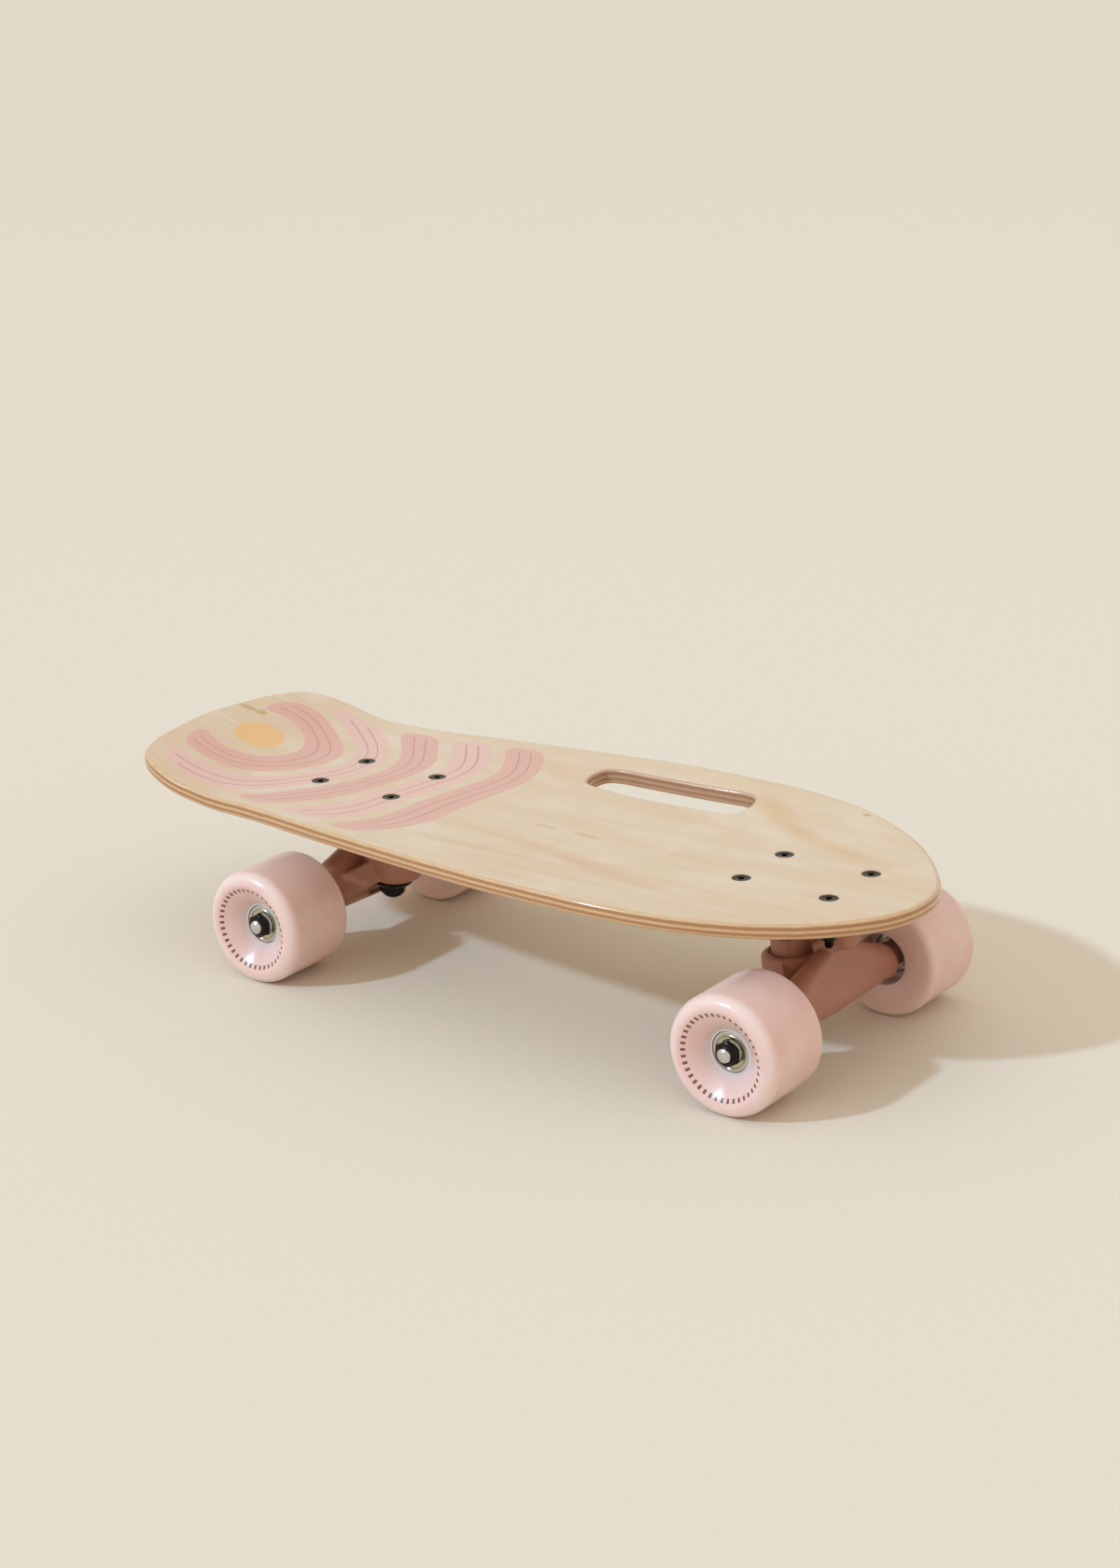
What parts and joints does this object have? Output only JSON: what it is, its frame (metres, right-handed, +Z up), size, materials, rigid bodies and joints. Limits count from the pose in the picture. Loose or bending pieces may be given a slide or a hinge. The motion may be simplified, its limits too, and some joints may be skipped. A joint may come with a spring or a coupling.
{
  "type": "cruiser skateboard",
  "caption": "Small wooden cruiser skateboard with a hand slot, a kicktail, sprung steering trucks and soft wheels on ball bearings.",
  "frame": {"origin": "on the floor, under the middle of the deck", "axes": "+X towards the nose, +Y towards the rider's left, +Z up"},
  "size_m": [0.501, 0.2106, 0.114],
  "materials": {
    "deck_plywood": "pressed maple or birch plywood under a clear satin lacquer",
    "truck_enamel": "die-cast aluminium with a dusty pink satin enamel",
    "bushing_urethane": "cast urethane, satin",
    "cup_plastic": "moulded, matt",
    "black_steel": "blackened steel, satin",
    "bright_steel": "turned and plated steel",
    "wheel_urethane": "cast urethane, glossy, slightly see-through"
  },
  "bodies": {
    "board": {"deck": "deck_plywood", "front_baseplate": "truck_enamel", "front_pivot_cup": "cup_plastic", "front_kingpin": "black_steel", "front_kingpin_nut": "black_steel", "front_top_washer": "black_steel", "front_bottom_washer": "black_steel", "front_top_bushing": "bushing_urethane", "front_bottom_bushing": "bushing_urethane", "front_bolt_outer_left": "black_steel", "front_bolt_nut_outer_left": "black_steel", "front_bolt_outer_right": "black_steel", "front_bolt_nut_outer_right": "black_steel", "front_bolt_inner_left": "black_steel", "front_bolt_nut_inner_left": "black_steel", "front_bolt_inner_right": "black_steel", "front_bolt_nut_inner_right": "black_steel", "rear_baseplate": "truck_enamel", "rear_pivot_cup": "cup_plastic", "rear_kingpin": "black_steel", "rear_kingpin_nut": "black_steel", "rear_top_washer": "black_steel", "rear_bottom_washer": "black_steel", "rear_top_bushing": "bushing_urethane", "rear_bottom_bushing": "bushing_urethane", "rear_bolt_outer_left": "black_steel", "rear_bolt_nut_outer_left": "black_steel", "rear_bolt_outer_right": "black_steel", "rear_bolt_nut_outer_right": "black_steel", "rear_bolt_inner_left": "black_steel", "rear_bolt_nut_inner_left": "black_steel", "rear_bolt_inner_right": "black_steel", "rear_bolt_nut_inner_right": "black_steel"},
    "front_axle_set": {"front_hanger": "truck_enamel", "front_axle": "bright_steel", "front_axle_nut_left": "black_steel", "front_axle_nut_right": "black_steel", "front_left_bearing_core": "bright_steel", "front_right_bearing_core": "bright_steel"},
    "rear_axle_set": {"rear_hanger": "truck_enamel", "rear_axle": "bright_steel", "rear_axle_nut_left": "black_steel", "rear_axle_nut_right": "black_steel", "rear_left_bearing_core": "bright_steel", "rear_right_bearing_core": "bright_steel"},
    "front_left_wheel_set": {"front_left_wheel": "wheel_urethane", "front_left_inboard_bearing": "bright_steel", "front_left_outboard_bearing": "bright_steel"},
    "front_right_wheel_set": {"front_right_wheel": "wheel_urethane", "front_right_inboard_bearing": "bright_steel", "front_right_outboard_bearing": "bright_steel"},
    "rear_left_wheel_set": {"rear_left_wheel": "wheel_urethane", "rear_left_inboard_bearing": "bright_steel", "rear_left_outboard_bearing": "bright_steel"},
    "rear_right_wheel_set": {"rear_right_wheel": "wheel_urethane", "rear_right_inboard_bearing": "bright_steel", "rear_right_outboard_bearing": "bright_steel"}
  },
  "joints": [
    {"name": "front_steer", "type": "hinge", "parent": "board", "child": "front_axle_set", "pos_m": [0.1707, 0, 0.0458], "axis": [0.8225, 0, 0.5688], "range_deg": [-10, 10], "stiffness_Nm_per_rad": 12, "deforming": ["front_top_bushing", "front_bottom_bushing"]},
    {"name": "front_left_spin", "type": "hinge", "parent": "front_axle_set", "child": "front_left_wheel_set", "pos_m": [0.1917, 0.07795, 0.033], "axis": [0, 1, 0], "continuous": true},
    {"name": "front_right_spin", "type": "hinge", "parent": "front_axle_set", "child": "front_right_wheel_set", "pos_m": [0.1917, -0.07795, 0.033], "axis": [0, 1, 0], "continuous": true},
    {"name": "rear_steer", "type": "hinge", "parent": "board", "child": "rear_axle_set", "pos_m": [-0.1071, 0, 0.0458], "axis": [-0.8225, 0, 0.5688], "range_deg": [-10, 10], "stiffness_Nm_per_rad": 12, "deforming": ["rear_top_bushing", "rear_bottom_bushing"]},
    {"name": "rear_left_spin", "type": "hinge", "parent": "rear_axle_set", "child": "rear_left_wheel_set", "pos_m": [-0.1281, 0.07795, 0.033], "axis": [0, 1, 0], "continuous": true},
    {"name": "rear_right_spin", "type": "hinge", "parent": "rear_axle_set", "child": "rear_right_wheel_set", "pos_m": [-0.1281, -0.07795, 0.033], "axis": [0, 1, 0], "continuous": true}
  ]
}
